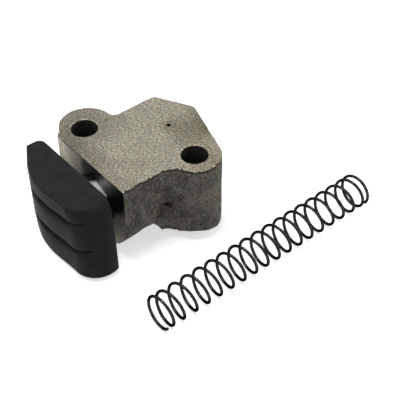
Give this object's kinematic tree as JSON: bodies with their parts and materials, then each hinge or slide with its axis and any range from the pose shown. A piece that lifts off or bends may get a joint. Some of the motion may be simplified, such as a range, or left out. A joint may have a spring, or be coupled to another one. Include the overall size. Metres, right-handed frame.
{
  "type": "timing chain tensioner",
  "caption": "Cast iron timing chain tensioner: a bolted housing with a sliding steel plunger, a grooved black rubber slipper on its head, and its coil spring lying beside it.",
  "frame": {"origin": "midway between the two bolt holes, on the machined mounting face", "axes": "+X the way the plunger comes out, +Z the normal of the mounting face, +Y across the plunger"},
  "size_m": [0.0958, 0.0781, 0.0308],
  "materials": {
    "cast_housing": "as cast on the sides, machined beige-grey mounting face",
    "ground_plunger": "ground bright",
    "slipper_rubber": "moulded, matt near-black",
    "spring_wire": "black oxide, slightly glossy"
  },
  "bodies": {
    "housing": {"housing": "cast_housing", "spring": "spring_wire"},
    "plunger": {"plunger": "ground_plunger", "slipper": "slipper_rubber"}
  },
  "joints": [
    {"name": "plunger_slide", "type": "slide", "parent": "housing", "child": "plunger", "axis": [1, 0, 0], "range_m": [-0.0044, 0.012]}
  ]
}
